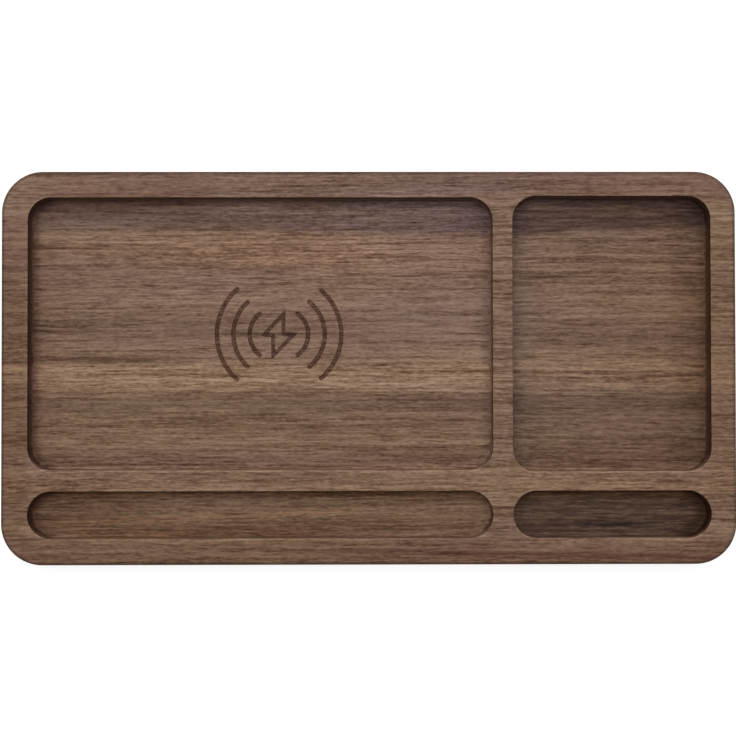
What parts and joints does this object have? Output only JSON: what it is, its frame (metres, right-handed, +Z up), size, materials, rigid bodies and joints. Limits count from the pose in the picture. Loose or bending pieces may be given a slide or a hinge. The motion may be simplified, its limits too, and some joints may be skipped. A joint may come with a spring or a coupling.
{
  "type": "wireless charging organizer tray",
  "caption": "Walnut desk tray with two wide pockets and two long slots, and a wireless phone charger built in under the floor of the largest pocket.",
  "frame": {"origin": "middle of the tray in plan, on the surface that the feet stand on", "axes": "+X along the tray to the right, +Y towards the rear edge with the supply socket, +Z up out of the pockets"},
  "size_m": [0.32, 0.1712, 0.022],
  "materials": {
    "walnut": "oiled, fine sanded, open pores",
    "cover_plastic": "spark-eroded matte black",
    "screw_steel": "black zinc",
    "foot_silicone": "matte black silicone",
    "sleeve_plastic": "satin black",
    "foam": "closed-cell foam",
    "carrier_plastic": "natural white",
    "ferrite": "sintered dark grey",
    "litz_copper": "enamelled stranded copper",
    "tape": "adhesive tape",
    "sensor_epoxy": "dipped epoxy",
    "board_laminate": "green solder mask",
    "zinc_steel": "zinc plated",
    "shell_steel": "nickel plated",
    "insulator_plastic": "black",
    "contact_gold": "gold plated",
    "chip_epoxy": "black moulding compound",
    "capacitor_ceramic": "tan ceramic with tinned ends",
    "inductor_ferrite": "moulded grey"
  },
  "bodies": {
    "root": {"tray_body": "walnut", "base_cover": "cover_plastic", "cover_screws": "screw_steel", "foot_front_left": "foot_silicone", "foot_front_right": "foot_silicone", "foot_rear_left": "foot_silicone", "foot_rear_right": "foot_silicone", "port_sleeve": "sleeve_plastic", "foam_pad": "foam", "coil_carrier": "carrier_plastic", "ferrite_shield": "ferrite", "charging_coil": "litz_copper", "coil_tape": "tape", "thermistor": "sensor_epoxy", "charger_board": "board_laminate", "board_screws": "zinc_steel", "usb_c_shell": "shell_steel", "usb_c_tongue": "insulator_plastic", "usb_c_contacts": "contact_gold", "controller_chip": "chip_epoxy", "bridge_transistors": "chip_epoxy", "resonant_capacitors": "capacitor_ceramic", "input_capacitors": "capacitor_ceramic", "power_inductor": "inductor_ferrite"}
  },
  "joints": []
}
